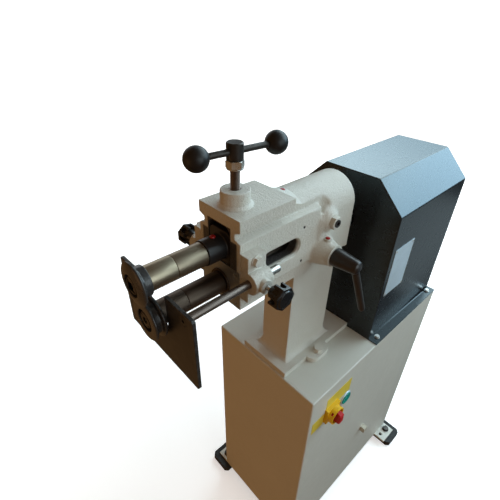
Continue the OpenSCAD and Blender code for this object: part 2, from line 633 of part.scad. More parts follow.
module lock_washer() color(steel) up() translate([0, screw_y, 500.4]) difference() {
    cylinder(h = 1.8, r = 13.5);
    translate([0, 0, -1]) cylinder(h = 5, r = screw_r + run_c);
}

module lock_nut() color(steel) up() translate([0, screw_y, 502.4]) difference() {
    intersection() {
        cylinder(h = 11.8, r = 14.8, $fn = 6);
        rotate_extrude() polygon([[0, 0], [13.3, 0], [14.8, 1.3], [14.8, 10.5], [13.3, 11.8], [0, 11.8]]);
    }
    translate([0, 0, -1]) cylinder(h = 20, r = screw_r + run_c);
}

// ---- gauge -----------------------------------------------------------
module gauge_plate() color(oxide) up() difference() {
    ext_y(-524, -524 + gauge_t) difference() {
        polygon([[-112, 215], [-109, 212], [93, 212], [96, 215], [96, 352], [93, 355], [-109, 355], [-112, 352]]);
        translate([0, lo_z]) circle(r = 26);
        translate([-26, lo_z]) square([52, 60]);
    }
    cone_y(rod_x, rod_z, -524.01, -520, 8, 4.1);
    cyl_y(rod_x, rod_z, -525, -510, 4.1);
}
module gauge_rod() color(olive) up() difference() {
    union() {
        cyl_y(rod_x, rod_z, -524 + gauge_t, -334, rod_r);
        cone_y(rod_x, rod_z, -334, -332.5, rod_r, rod_r - 1.5);
    }
    cyl_y(rod_x, rod_z, -525, -498, 4);
}
module gauge_screw() color(steel) up() difference() {
    union() {
        cone_y(rod_x, rod_z, -523.6, -520, 7.3, 3.9);
        cyl_y(rod_x, rod_z, -521, -500, 3.9);
    }
    translate([rod_x, -525, rod_z]) rotate([-90, 0, 0]) cylinder(h = 4, r = 2.9, $fn = 6);
}

// ---- clamp knobs and lever ------------------------------------------
module star_knob(d) {
    // seven lobes parted by pockets behind a full front
    difference() {
        ext_x(106 + d, 125 + d) translate([knob_y, rod_z]) circle(r = knob_r + 0.5, $fn = 7);
        for (a = [25.714286:51.428571:359]) translate([0, knob_y, rod_z]) rotate([a, 0, 0]) {
            box(105 + d, 116 + d, 12.5, 25, -4.7, 4.7);
            translate([116 + d, 12.5, 0]) rotate([-90, 0, 0]) cylinder(h = 12.5, r = 4.7);
        }
    }
    turn_x(knob_y, rod_z, 125 + d) polygon([[0, 0], [15.5, 0], [14, 2], [0, 3.5]]);
    cone_x(knob_y, rod_z, 97 + d, 106 + d, 9.5, 12);
    cyl_x(knob_y, rod_z, 78.6, 97 + d, 4);
}
module right_clamp_knob() color(black) up() star_knob(9.5);
module left_clamp_knob() color(black) up() mirror([1, 0, 0]) star_knob(1);

module lever_handle() color([0.13, 0.11, 0.10]) up() difference() {
    union() {
        turn_x(lev_y, lev_z, 0) polygon([[0, 86.6], [18, 86.6], [19, 88], [18.6, 96], [14.6, 134], [12.5, 139], [8, 142], [0, 143]]);
        // arm leaning out and back
        translate([131, lev_y, lev_z]) rotate([12.6, 0, 0]) rotate([0, 168.5, 0]) {
            cylinder(h = 107, r1 = 7.8, r2 = 7);
            translate([0, 0, 107]) sphere(r = 7);
        }
    }
    cyl_x(lev_y, lev_z, 80, 112, 8);
}

module lever_shaft() color(steel) up() {
    cyl_x(lev_y, lev_z, 27.2, 112, 8);
    cyl_x(lev_y, lev_z + lev_e, 18.8, 28, 4);
}

// ---- build -----------------------------------------------------------
cabinet_shell();
rear_panel();
rear_panel_screws();
foot_plates();
rubber_feet();
foot_bolts();
pedal_inlet();
head_casting();
head_bolts();
lower_bearing_cap();
right_bracket();
left_bracket();
bracket_bolts();
pivot_screws();
pivot_lock_nuts();
oil_plugs();
drive_cover();
cover_screws();
gearbox();
gearbox_stand();
motor();
motor_fan_cover();
data_plate();
data_plate_rivets();
switch_base();
button_bezel();
cap_screws();
upper_rocker();
upper_bushes();
rocker_oil_plug();
upper_shaft();
upper_spacers();
upper_roller();
upper_roller_nut();
upper_gear();
lower_quill();
lower_bushes();
lower_shaft();
lower_spacers();
lower_roller();
lower_roller_nut();
lower_gear();
pressure_pad();
feed_screw();
tee_hub();
tee_bar();
ball_knobs();
lock_washer();
lock_nut();
gauge_plate();
gauge_rod();
gauge_screw();
right_clamp_knob();
left_clamp_knob();
lever_handle();
lever_shaft();
switch_handle();
start_button();
output_shaft();
motor_fan();
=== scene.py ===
import json
import math

import bmesh
import bpy
import numpy as np
from mathutils import Matrix, Vector

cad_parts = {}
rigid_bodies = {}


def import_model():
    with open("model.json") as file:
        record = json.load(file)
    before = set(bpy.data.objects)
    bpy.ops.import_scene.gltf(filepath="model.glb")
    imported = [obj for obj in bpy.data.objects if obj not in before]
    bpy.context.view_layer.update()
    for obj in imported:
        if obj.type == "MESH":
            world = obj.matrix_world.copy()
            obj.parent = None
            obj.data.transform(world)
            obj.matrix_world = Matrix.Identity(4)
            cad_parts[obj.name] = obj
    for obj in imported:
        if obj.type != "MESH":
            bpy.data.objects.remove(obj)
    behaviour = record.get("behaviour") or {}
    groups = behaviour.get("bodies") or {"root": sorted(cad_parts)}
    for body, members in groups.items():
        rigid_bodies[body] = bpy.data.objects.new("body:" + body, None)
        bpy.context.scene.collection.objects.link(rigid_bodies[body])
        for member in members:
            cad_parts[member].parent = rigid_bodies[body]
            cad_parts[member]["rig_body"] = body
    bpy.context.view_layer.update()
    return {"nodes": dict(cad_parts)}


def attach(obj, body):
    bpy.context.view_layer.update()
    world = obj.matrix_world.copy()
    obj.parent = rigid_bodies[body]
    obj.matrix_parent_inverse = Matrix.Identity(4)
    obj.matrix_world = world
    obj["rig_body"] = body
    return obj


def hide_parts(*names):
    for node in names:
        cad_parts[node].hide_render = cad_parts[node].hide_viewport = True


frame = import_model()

NODES = frame["nodes"]
MM = 0.001
ZT = 730.0          # top of the cabinet above the floor, mm
UP_Z, LO_Z = ZT + 377.0, ZT + 305.0
SCENE = bpy.context.scene


# ---------------------------------------------------------------- camera
def make_camera():
    yaw, pitch, roll = math.radians(46.95), math.radians(33.56), math.radians(0.975)
    f = Vector((-math.sin(yaw) * math.cos(pitch), math.cos(yaw) * math.cos(pitch), -math.sin(pitch)))
    r = Vector((math.cos(yaw), math.sin(yaw), 0))
    u = r.cross(f)
    c, s = math.cos(roll), math.sin(roll)
    r, u = r * c + u * s, u * c - r * s
    data = bpy.data.cameras.new("camera")
    data.sensor_width = 36.0
    data.lens = 26.117
    data.clip_start, data.clip_end = 0.01, 200
    cam = bpy.data.objects.new("camera", data)
    SCENE.collection.objects.link(cam)
    m = Matrix((r, u, -f)).transposed().to_4x4()
    m.translation = (0.39802, -0.70413, 1.43)
    cam.matrix_world = m
    SCENE.camera = cam


make_camera()


# ------------------------------------------------------------- materials
class Graph:
    """A small helper around one material's node tree."""

    def __init__(self, name):
        self.mat = bpy.data.materials.new(name)
        self.mat.use_nodes = True
        self.t = self.mat.node_tree
        self.t.nodes.clear()
        self.out = self.t.nodes.new("ShaderNodeOutputMaterial")
        self.bsdf = self.t.nodes.new("ShaderNodeBsdfPrincipled")
        self.t.links.new(self.bsdf.outputs[0], self.out.inputs[0])
        self.coord = self.t.nodes.new("ShaderNodeTexCoord").outputs["Object"]

    def node(self, kind, **inputs):
        n = self.t.nodes.new(kind)
        for k, v in inputs.items():
            self.put(n.inputs[k.replace("_", " ")], v)
        return n

    def put(self, socket, v):
        if isinstance(v, bpy.types.NodeSocket):
            self.t.links.new(v, socket)
        else:
            socket.default_value = v

    def stretch(self, scale):
        n = self.t.nodes.new("ShaderNodeMapping")
        n.inputs["Scale"].default_value = scale
        self.t.links.new(self.coord, n.inputs["Vector"])
        return n.outputs[0]

    def noise(self, scale, detail=4.0, rough=0.55, vector=None, distortion=0.0):
        n = self.node("ShaderNodeTexNoise", Vector=vector or self.coord, Scale=scale, Detail=detail, Roughness=rough, Distortion=distortion)
        return n.outputs["Fac"]

    def ramp(self, fac, lo, hi, a=0.0, b=1.0):
        n = self.t.nodes.new("ShaderNodeMapRange")
        n.clamp = True
        for k, v in (("Value", fac), ("From Min", lo), ("From Max", hi), ("To Min", a), ("To Max", b)):
            self.put(n.inputs[k], v)
        return n.outputs[0]

    def mix(self, fac, a, b, mode="MIX"):
        n = self.t.nodes.new("ShaderNodeMix")
        n.data_type = "RGBA"
        n.blend_type = mode
        n.clamp_factor = True
        self.put(n.inputs[0], fac)
        self.put(n.inputs[6], a)
        self.put(n.inputs[7], b)
        return n.outputs[2]

    def math(self, op, a, b=0.0):
        n = self.t.nodes.new("ShaderNodeMath")
        n.operation = op
        self.put(n.inputs[0], a)
        self.put(n.inputs[1], b)
        return n.outputs[0]

    def bump(self, height, distance, strength=1.0, normal=None):
        n = self.t.nodes.new("ShaderNodeBump")
        n.inputs["Strength"].default_value = strength
        n.inputs["Distance"].default_value = distance
        self.t.links.new(height, n.inputs["Height"])
        if normal is not None:
            self.t.links.new(normal, n.inputs["Normal"])
        return n.outputs[0]

    def edges(self):
        return self.t.nodes.new("ShaderNodeNewGeometry").outputs["Pointiness"]


def rgb(r, g, b):
    return (r, g, b, 1.0)


def scaled(c, k):
    return (min(c[0] * k, 1), min(c[1] * k, 1), min(c[2] * k, 1), 1.0)


MATERIALS = {}


def paint(name, base, rough, peel, cast=0.0, wear=None, grime_and_corner_shade=None, dust=None, spec=0.5, spread=0.05, sheen=None, rough_var=0.08, inside=None):
    """Sprayed paint: slow colour drift, orange peel, optional cast grain, worn edges, grime and painted shade in
    concave corners, dust, and optional painted shade on the walls inside a cavity.
    """
    g = Graph(name)
    drift = g.noise(6.0, 5, 0.6)
    col = g.mix(g.ramp(drift, 0.3, 0.7), scaled(base, 1 - spread), scaled(base, 1 + spread))
    blot = g.noise(38.0, 6, 0.65)
    col = g.mix(g.ramp(blot, 0.55, 0.8, 0.0, 0.35), col, scaled(base, 0.9))
    speck = g.noise(900.0, 2, 0.5)
    col = g.mix(g.ramp(speck, 0.62, 0.8, 0.0, 0.18), col, scaled(base, 0.72))
    # Concave corners found by pointiness are darkened, broken up by noise: grime, and painted shade in the creases.
    if grime_and_corner_shade:
        e = g.edges()
        grime_and_shade = g.math("MULTIPLY", g.ramp(e, 0.5, 0.42), g.ramp(g.noise(60.0, 5, 0.7), 0.35, 0.65))
        col = g.mix(g.math("MULTIPLY", grime_and_shade, 0.75), col, grime_and_corner_shade)
    if wear:
        e = g.edges()
        chip = g.math("MULTIPLY", g.ramp(e, 0.535, 0.60), g.ramp(g.noise(160.0, 6, 0.7), 0.5, 0.62))
        col = g.mix(g.math("MULTIPLY", chip, 0.8), col, wear)
    if dust:
        d = g.math("MULTIPLY", g.ramp(g.noise(9.0, 6, 0.7), 0.45, 0.75), g.ramp(g.noise(420.0, 3, 0.7), 0.5, 0.72))
        col = g.mix(g.math("MULTIPLY", d, 0.55), col, dust)
    # Painted shade: where the mask is 1, the walls inside a cavity are turned near black.
    if inside:
        col = g.mix(inside(g), col, rgb(0.05, 0.046, 0.043))
    g.put(g.bsdf.inputs["Base Color"], col)
    rv = g.noise(45.0, 5, 0.6)
    g.put(g.bsdf.inputs["Roughness"], g.ramp(rv, 0.25, 0.75, rough - rough_var, rough + rough_var))
    g.bsdf.inputs["Specular IOR Level"].default_value = spec
    if sheen:
        g.bsdf.inputs["Specular Tint"].default_value = sheen
    n = None
    if cast:
        n = g.bump(g.noise(26.0, 4, 0.55), 0.0016 * cast, 0.6)
        n = g.bump(g.noise(230.0, 5, 0.7), 0.0021 * cast, 0.85, n)
    n = g.bump(g.noise(520.0, 2, 0.5) if peel > 0.3 else g.noise(90.0, 1, 0.4), 0.00016 * peel, 0.6, n)
    g.put(g.bsdf.inputs["Normal"], n)
    MATERIALS[name] = g.mat
    return g.mat


def metal(name, base, rough, tint=None, spread=0.12, axis=None, rings=0.0, ring_scale=900.0, pits=0.0, edge=None, metallic=1.0, drift=14.0, rough_var=0.1, coat=0.0):
    """Bare or browned metal: oil film, machining rings along one axis, pitting and bright edges: worn edges, and where
    the edge colour is bright a painted highlight as well.
    """
    g = Graph(name)
    tint = tint or scaled(base, 0.75)
    col = g.mix(g.ramp(g.noise(drift, 6, 0.62, distortion=0.4), 0.32, 0.7), scaled(base, 1 + spread), tint)
    col = g.mix(g.ramp(g.noise(drift * 14, 5, 0.65), 0.58, 0.8, 0.0, 0.5), col, scaled(base, 0.6))
    r = g.ramp(g.noise(60.0, 5, 0.6), 0.25, 0.75, rough - rough_var, rough + rough_var)
    n = None
    if rings:
        s = [0.0, 0.0, 0.0]
        s[axis] = ring_scale
        line = g.noise(1.0, 3, 0.7, vector=g.stretch(s))
        col = g.mix(g.ramp(line, 0.35, 0.75, 0.0, 0.35 * rings), col, scaled(base, 0.62))
        r = g.math("ADD", r, g.ramp(line, 0.3, 0.7, -0.05 * rings, 0.07 * rings))
        n = g.bump(line, 0.00006, 0.5 * rings, n)
    if pits:
        n = g.bump(g.noise(330.0, 5, 0.7), 0.0002 * pits, 0.5, n)
    # Lighter convex edges found by pointiness: edge wear, and with a bright edge colour also a painted highlight.
    if edge:
        e = g.math("MULTIPLY", g.ramp(g.edges(), 0.52, 0.60), g.ramp(g.noise(120.0, 5, 0.7), 0.38, 0.6))
        col = g.mix(g.math("MULTIPLY", e, 0.8), col, edge)
    g.put(g.bsdf.inputs["Base Color"], col)
    g.put(g.bsdf.inputs["Roughness"], r)
    g.bsdf.inputs["Metallic"].default_value = metallic
    if coat:
        g.bsdf.inputs["Coat Weight"].default_value = coat
        g.bsdf.inputs["Coat Roughness"].default_value = 0.25
    n = g.bump(g.noise(700.0, 3, 0.6), 0.00005, 0.5, n)
    g.put(g.bsdf.inputs["Normal"], n)
    MATERIALS[name] = g.mat
    return g.mat


def plastic(name, base, rough, grain=0.3, dust=0.0, spread=0.08, coat=0.0, scuff=0.0, spec=0.5):
    """Moulded plastic, rubber or phenolic: fine grain, light handling marks and a little dust."""
    g = Graph(name)
    col = g.mix(g.ramp(g.noise(22.0, 5, 0.6), 0.3, 0.7), scaled(base, 1 - spread), scaled(base, 1 + spread))
    if dust:
        d = g.ramp(g.noise(240.0, 6, 0.75), 0.58, 0.8, 0.0, dust)
        col = g.mix(d, col, rgb(0.42, 0.40, 0.37))
    g.put(g.bsdf.inputs["Base Color"], col)
    r = g.ramp(g.noise(55.0, 6, 0.65), 0.28, 0.72, rough - 0.06, rough + 0.1)
    if scuff:
        hair = g.noise(1.0, 4, 0.75, vector=g.stretch((40.0, 900.0, 300.0)))
        r = g.math("ADD", r, g.ramp(hair, 0.58, 0.75, 0.0, scuff))
    g.put(g.bsdf.inputs["Roughness"], r)
    g.bsdf.inputs["Specular IOR Level"].default_value = spec
    if coat:
        g.bsdf.inputs["Coat Weight"].default_value = coat
        g.bsdf.inputs["Coat Roughness"].default_value = 0.08
    n = g.bump(g.noise(800.0, 3, 0.6), 0.0002 * grain, 0.5)
    n = g.bump(g.noise(48.0, 3, 0.5), 0.0002 * grain, 0.35, n)
    g.put(g.bsdf.inputs["Normal"], n)
    MATERIALS[name] = g.mat
    return g.mat


def head_cavity_shade(g):
    """1 on the walls inside the head, seen through its window and side openings, where the colour is turned near black
    as painted shade.
    """
    axes = g.node("ShaderNodeSeparateXYZ", Vector=g.coord)
    x, y, z = g.math("ABSOLUTE", axes.outputs["X"]), axes.outputs["Y"], axes.outputs["Z"]
    deep = g.math("MULTIPLY", g.ramp(x, 0.0455, 0.0415), g.ramp(z, 1.131, 1.128))
    tunnel = g.math("MULTIPLY", g.ramp(x, 0.0295, 0.0285), g.ramp(z, 1.152, 1.151))
    m = g.math("MULTIPLY", g.math("MAXIMUM", deep, tunnel), g.ramp(z, 1.046, 1.05))
    return g.math("MULTIPLY", m, g.math("MULTIPLY", g.ramp(y, -0.405, -0.402), g.ramp(y, -0.21, -0.215)))


BEIGE = rgb(0.605, 0.585, 0.52)
# The grime colours below also paint shade into concave corners.
paint("cast_paint", BEIGE, 0.40, 1.0, cast=1.0, wear=rgb(0.70, 0.69, 0.65), grime_and_corner_shade=rgb(0.20, 0.16, 0.11), spread=0.035)
# The head's paint also paints shade on the walls inside the head.
paint("head_paint_cavity_shade", BEIGE, 0.40, 1.0, cast=1.0, wear=rgb(0.70, 0.69, 0.65), grime_and_corner_shade=rgb(0.20, 0.16, 0.11), spread=0.035, inside=head_cavity_shade)
paint("sheet_paint", rgb(0.60, 0.588, 0.525), 0.42, 0.9, spread=0.025)
paint("painted_bolt", scaled(BEIGE, 1.02), 0.36, 1.2, cast=0.25, wear=rgb(0.50, 0.49, 0.46), grime_and_corner_shade=rgb(0.16, 0.12, 0.08))
paint("cover_paint", rgb(0.013, 0.0135, 0.015), 0.27, 0.04, spread=0.06, spec=0.62, sheen=rgb(0.74, 0.92, 1.0), rough_var=0.012)
paint("motor_paint", rgb(0.13, 0.17, 0.22), 0.4, 1.0, cast=0.5)
metal("bare_cast", rgb(0.42, 0.46, 0.48), 0.46, tint=rgb(0.34, 0.36, 0.36), pits=1.0, axis=2, rings=0.5, ring_scale=700.0, metallic=0.85)
metal("zinc_steel", rgb(0.58, 0.58, 0.565), 0.30, tint=rgb(0.50, 0.495, 0.48), spread=0.05, pits=0.3, metallic=0.95)
metal("black_oxide", rgb(0.030, 0.027, 0.025), 0.40, tint=rgb(0.036, 0.029, 0.024), spread=0.06, pits=0.4, edge=rgb(0.16, 0.15, 0.14), metallic=0.55)
# The rollers' light bluish edge colour is partly wear and partly a painted rim highlight.
metal("roller_black", rgb(0.050, 0.052, 0.056), 0.26, tint=rgb(0.052, 0.048, 0.046), spread=0.06, pits=0.2, edge=rgb(0.26, 0.27, 0.28), metallic=0.35, rough_var=0.04)
metal("plate_black", rgb(0.0125, 0.012, 0.012), 0.42, tint=rgb(0.015, 0.0135, 0.013), spread=0.06, pits=0.3, edge=rgb(0.10, 0.10, 0.10), metallic=0.15, rough_var=0.05)
metal("rocker_black", rgb(0.013, 0.013, 0.0145), 0.36, tint=rgb(0.017, 0.015, 0.015), spread=0.06, pits=0.5, edge=rgb(0.09, 0.085, 0.08), metallic=0.2, rough_var=0.05)
metal("screw_steel", rgb(0.20, 0.15, 0.125), 0.34, tint=rgb(0.13, 0.10, 0.085), pits=0.3, metallic=0.9)
metal("spacer_steel", rgb(0.345, 0.295, 0.215), 0.37, tint=rgb(0.31, 0.26, 0.185), spread=0.04, axis=1, rings=0.4, drift=5.0, rough_var=0.03)
# A darker copy of the spacer steel for the rear upper sleeve: painted shade.
metal("spacer_steel_painted_shade", rgb(0.29, 0.245, 0.18), 0.39, tint=rgb(0.25, 0.208, 0.15), spread=0.04, axis=1, rings=0.5, drift=5.0, rough_var=0.03)
metal("dark_spacer_steel", rgb(0.12, 0.092, 0.072), 0.46, tint=rgb(0.10, 0.076, 0.06), spread=0.04, axis=1, rings=0.5, drift=5.0, rough_var=0.04)
metal("rod_steel", rgb(0.20, 0.168, 0.148), 0.42, tint=rgb(0.165, 0.135, 0.118), spread=0.05, drift=5.0, rough_var=0.03)
metal("ground_steel", rgb(0.56, 0.555, 0.53), 0.27, tint=rgb(0.44, 0.42, 0.38), axis=1, rings=0.8)
metal("bronze", rgb(0.52, 0.34, 0.15), 0.38, tint=rgb(0.36, 0.22, 0.10), axis=1, rings=0.6)
# The blue in the aluminium's colour is a painted reflection of cool daylight.
metal("alu", rgb(0.62, 0.75, 0.84), 0.36, tint=rgb(0.57, 0.68, 0.76), spread=0.03, axis=2, rings=0.9, ring_scale=1400.0, metallic=0.35)
metal("gearbox_alu", rgb(0.48, 0.49, 0.50), 0.46, pits=0.8)
plastic("phenolic", rgb(0.0085, 0.0070, 0.0070), 0.42, grain=0.3, dust=0.02, scuff=0.05, spec=0.36)
plastic("knob_black", rgb(0.0095, 0.0085, 0.0085), 0.25, grain=0.25, dust=0.03, scuff=0.05)
plastic("lever_plastic", rgb(0.016, 0.012, 0.011), 0.34, grain=0.4, dust=0.03, scuff=0.05)
plastic("rubber", rgb(0.016, 0.016, 0.016), 0.68, grain=1.2, dust=0.25)
plastic("red_plastic", rgb(0.50, 0.012, 0.016), 0.40, grain=0.2, spec=0.3)
plastic("oil_red", rgb(0.34, 0.012, 0.014), 0.28, grain=0.2, dust=0.05)
plastic("yellow_plastic", rgb(0.80, 0.48, 0.012), 0.38, grain=0.4, spec=0.4)
plastic("legend_yellow", rgb(0.74, 0.56, 0.06), 0.40, grain=0.1, spread=0.03)
plastic("green_plastic", rgb(0.004, 0.32, 0.26), 0.24, grain=0.15, coat=0.2)
plastic("inlet_plastic", rgb(0.52, 0.48, 0.38), 0.42, grain=0.6)
plastic("white_plastic", rgb(0.72, 0.72, 0.70), 0.35, grain=0.2)
plastic("fan_plastic", rgb(0.025, 0.025, 0.027), 0.42, grain=0.5, dust=0.12)


# ------------------------------------------------------------ mesh tools
def body_of(node):
    return NODES[node]["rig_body"]


def shade(mesh, angle=35.0):
    mesh.shade_smooth()
    mesh.set_sharp_from_angle(angle=math.radians(angle))


def piece(name, mesh, material, body, nodes=(), weighted=False):
    ob = bpy.data.objects.new(name, mesh)
    SCENE.collection.objects.link(ob)
    mesh.materials.clear()
    mesh.materials.append(MATERIALS[material])
    if weighted:
        m = ob.modifiers.new("normals", "WEIGHTED_NORMAL")
        m.weight = 60
        m.keep_sharp = True
    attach(ob, body)
    if nodes:
        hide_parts(*nodes)
    return ob


def from_bm(name, bm, angle=35.0):
    bmesh.ops.recalc_face_normals(bm, faces=bm.faces[:])
    mesh = bpy.data.meshes.new(name)
    bm.to_mesh(mesh)
    bm.free()
    shade(mesh, angle)
    return mesh


def soft_copy(node, material, width=0.5, segs=2, where=None, angle=28.0, second=None):
    """A copy of a CAD node with its edges broken, as a real part's are. where picks the edges that get the width, second those with another."""
    bm = bmesh.new()
    bm.from_mesh(NODES[node].data)
    bmesh.ops.remove_doubles(bm, verts=bm.verts[:], dist=2e-6)
    bmesh.ops.dissolve_limit(bm, angle_limit=math.radians(0.4), use_dissolve_boundaries=False, verts=bm.verts[:], edges=bm.edges[:])

    def crisp(test):
        return [e for e in bm.edges if len(e.link_faces) == 2 and e.calc_face_angle(0.0) > math.radians(angle) and (test is None or test(e))]

    for w, s, test in ([(width, segs, where)] + ([second] if second else [])):
        chosen = crisp(test)
        if chosen and w:
            bmesh.ops.bevel(bm, geom=chosen, offset=w * MM, offset_type="OFFSET", segments=s, profile=0.5, affect="EDGES", clamp_overlap=True)
    return piece(node + "_look", from_bm(node + "_look", bm, 38.0), material, body_of(node), [node], weighted=True)


def evaluated(ob, name):
    dg = bpy.context.evaluated_depsgraph_get()
    mesh = bpy.data.meshes.new_from_object(ob.evaluated_get(dg), depsgraph=dg)
    mesh.name = name
    return mesh


def soften(mesh, weight, rounds):
    """Rolls the corners of a mesh into wide fillets where weight, a function of the points in mm, is above 0."""
    n = len(mesh.vertices)
    co = np.empty(n * 3)
    mesh.vertices.foreach_get("co", co)
    co = co.reshape(n, 3)
    w = weight(co / MM)
    ends = np.empty(len(mesh.edges) * 2, dtype=np.int32)
    mesh.edges.foreach_get("vertices", ends)
    ends = ends.reshape(-1, 2)
    ends = ends[(w[ends[:, 0]] > 0) | (w[ends[:, 1]] > 0)]
    a, b = np.concatenate([ends[:, 0], ends[:, 1]]), np.concatenate([ends[:, 1], ends[:, 0]])
    keep = w[a] > 0
    a, b = a[keep], b[keep]
    ids = np.flatnonzero(w > 0)
    local = np.full(n, -1)
    local[ids] = np.arange(len(ids))
    la = local[a]
    count = np.bincount(la, minlength=len(ids))[:, None]
    step = 0.5 * w[ids][:, None]
    for _ in range(rounds):
        near_by = co[b]
        mean = np.stack([np.bincount(la, near_by[:, k], len(ids)) for k in range(3)], axis=1) / count
        co[ids] += (mean - co[ids]) * step
    mesh.vertices.foreach_set("co", co.reshape(-1))
    mesh.update()


def cast_copy(node, material, voxel, rounds, ratio=0.5, factor=0.5, weight=None, extra=0):
    """A copy of a CAD node with the soft, filleted skin of a casting or moulding."""
    temp = bpy.data.objects.new(node + "_temp", NODES[node].data.copy())
    SCENE.collection.objects.link(temp)
    m = temp.modifiers.new("weld", "WELD")
    m.merge_threshold = 2e-6
    m = temp.modifiers.new("voxel", "REMESH")
    m.mode = "VOXEL"
    m.voxel_size = voxel * MM
    m = temp.modifiers.new("smooth", "SMOOTH")
    m.factor = factor
    m.iterations = rounds
    mesh = evaluated(temp, node + "_fine")
    if weight:
        soften(mesh, weight, extra)
    temp.modifiers.clear()
    temp.data = mesh
    m = temp.modifiers.new("thin", "DECIMATE")
    m.ratio = ratio
    mesh = evaluated(temp, node + "_look")
    bpy.data.objects.remove(temp)
    shade(mesh, 60.0)
    return piece(node + "_look", mesh, material, body_of(node), [node])


def rounded(points, r, n=3, loop=False):
    """Rounds the corners of a profile."""
    out = []
    count = len(points)
    for i, p in enumerate(points):
        if not loop and i in (0, count - 1):
            out.append(tuple(p))
            continue
        p, a, b = Vector(p), Vector(points[i - 1]), Vector(points[(i + 1) % count])
        da, db = (a - p).length, (b - p).length
        d = min(r, da * 0.45, db * 0.45)
        pa, pb = p + (a - p) / da * d, p + (b - p) / db * d
        for k in range(n + 1):
            t = k / n
            out.append(tuple(pa * (1 - t) ** 2 + p * 2 * t * (1 - t) + pb * t * t))
    return out


def add_lathe(bm, profile, origin, axis, segs=96, loop=False):
    """Turns a profile of (radius, distance along the axis), all in mm."""
    a = Vector(axis).normalized()
    t = a.orthogonal().normalized()
    b = a.cross(t)
    o = Vector(origin)
    rings = []
    for r, h in profile:
        if r < 1e-6:
            rings.append([bm.verts.new((o + a * h) * MM)])
        else:
            rings.append([bm.verts.new((o + a * h + (t * math.cos(2 * math.pi * k / segs) + b * math.sin(2 * math.pi * k / segs)) * r) * MM) for k in range(segs)])
    pairs = list(zip(rings, rings[1:]))
    if loop:
        pairs.append((rings[-1], rings[0]))
    for p, q in pairs:
        for k in range(segs):
            j = (k + 1) % segs
            if len(p) == 1 and len(q) == 1:
                continue
            if len(p) == 1:
                bm.faces.new((p[0], q[k], q[j]))
            elif len(q) == 1:
                bm.faces.new((p[k], q[0], p[j]))
            else:
                bm.faces.new((p[k], q[k], q[j], p[j]))


def lathe(name, material, body, parts, nodes=(), segs=96, angle=35.0):
    """parts: (profile, origin, axis, loop) each."""
    bm = bmesh.new()
    for profile, origin, axis, loop in parts:
        add_lathe(bm, profile, origin, axis, segs, loop)
    return piece(name, from_bm(name, bm, angle), material, body, nodes)


def add_box(bm, lo, hi, width=0.0, segs=2):
    r = bmesh.ops.create_cube(bm, size=1.0)
    lo, hi = Vector(lo), Vector(hi)
    for v in r["verts"]:
        v.co = Vector((lo[i] + (v.co[i] + 0.5) * (hi[i] - lo[i]) for i in range(3))) * MM
    if width:
        edges = list({e for v in r["verts"] for e in v.link_edges})
        bmesh.ops.bevel(bm, geom=edges, offset=width * MM, offset_type="OFFSET", segments=segs, profile=0.5, affect="EDGES", clamp_overlap=True)


def at(e, axis, value, tol=0.4):
    """Both ends of an edge lie at this coordinate, in mm."""
    return all(abs(v.co[axis] / MM - value) < tol for v in e.verts)


def near(e, axis, value, tol=0.4):
    return at(e, axis, value, tol)


# ------------------------------------------------------------ cabinet
def outer_cabinet(e):
    on = [at(e, 0, s * 157) for s in (-1, 1)] + [at(e, 1, s * 287) for s in (-1, 1)] + [at(e, 2, ZT)]
    return sum(on) >= 2


soft_copy("cabinet_shell", "sheet_paint", 3.2, 4, outer_cabinet)
soft_copy("rear_panel", "sheet_paint", 0.5, 2)
soft_copy("rear_panel_screws", "zinc_steel", 0.25, 2)
soft_copy("foot_plates", "sheet_paint", 1.0, 2)
soft_copy("rubber_feet", "rubber", 2.0, 3)
soft_copy("foot_bolts", "black_oxide", 0.5, 2)
soft_copy("pedal_inlet", "inlet_plastic", 1.4, 3)


# ---------------------------------------------------------------- head
def rise(v, lo, hi):
    return np.clip((v - lo) / (hi - lo), 0.0, 1.0)


def head_blend(p):
    """Where the head's casting has wide fillets: around its rear bosses and at the foot of its column."""
    x, y, z = np.abs(p[:, 0]), p[:, 1], p[:, 2] - ZT
    rear = rise(y, -236, -214) * rise(y, -104, -112) * rise(z, 268, 276) * np.maximum(rise(x, 36, 37.5), rise(z, 424, 428))
    rear *= rise(x, 62, 60.5) + rise(z, 340, 336) * rise(x, 77.5, 74) * rise(x, 60.5, 62)
    plug = np.hypot(p[:, 0] - 64, y + 187)
    rear *= np.maximum(rise(plug, 8.5, 10.5), rise(z, 326, 322))
    foot = 0.3 * rise(z, 14.5, 17) * rise(z, 50, 42) * rise(y, -275, -270)
    return np.maximum(rear, foot)


cast_copy("head_casting", "head_paint_cavity_shade", 1.0, 2, 0.36, weight=head_blend, extra=70)
cast_copy("right_bracket", "cast_paint", 0.7, 3, 0.6)
cast_copy("left_bracket", "cast_paint", 0.7, 3, 0.6)
lathe("grub_screws", "black_oxide", "frame", [([(0, 0), (2.7, 0), (2.7, 0.5), (1.4, 0.6), (1.3, 0.1), (0, 0.1)], (sx * 50.9, y, ZT + z), (sx, 0, 0), False) for sx in (-1, 1) for y, z in ((-247.5, 376), (-247, 302.6))], (), 24)
soft_copy("lower_bearing_cap", "bare_cast", 0.6, 2)
soft_copy("cap_screws", "bare_cast", 0.2, 1)
soft_copy("head_bolts", "painted_bolt", 0.9, 3)
soft_copy("bracket_bolts", "painted_bolt", 0.7, 3)
soft_copy("pivot_lock_nuts", "painted_bolt", 0.7, 3)
soft_copy("pivot_screws", "black_oxide", 0.4, 2)
soft_copy("oil_plugs", "oil_red", 0.5, 3)


